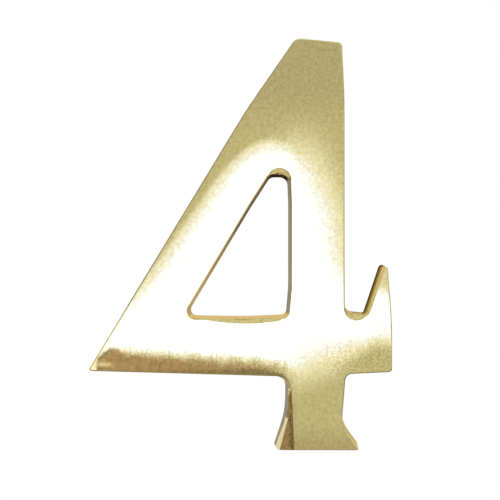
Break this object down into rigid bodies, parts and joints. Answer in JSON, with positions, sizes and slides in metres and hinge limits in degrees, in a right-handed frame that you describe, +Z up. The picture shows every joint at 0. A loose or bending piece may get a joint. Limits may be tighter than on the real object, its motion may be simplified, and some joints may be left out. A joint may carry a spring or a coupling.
{
  "type": "door numeral",
  "caption": "Polished cast-brass door numeral \"4\" with a triangular counter, a spurred crossbar and a flared foot, fixed from behind.",
  "frame": {"origin": "midway between the fixing holes, on the flat back", "axes": "+Z up the numeral, +X to its reader's right, -Y out of its polished face"},
  "size_m": [0.0561, 0.0043, 0.076],
  "materials": {
    "polished_brass": "polished"
  },
  "bodies": {
    "root": {"numeral": "polished_brass"}
  },
  "joints": []
}
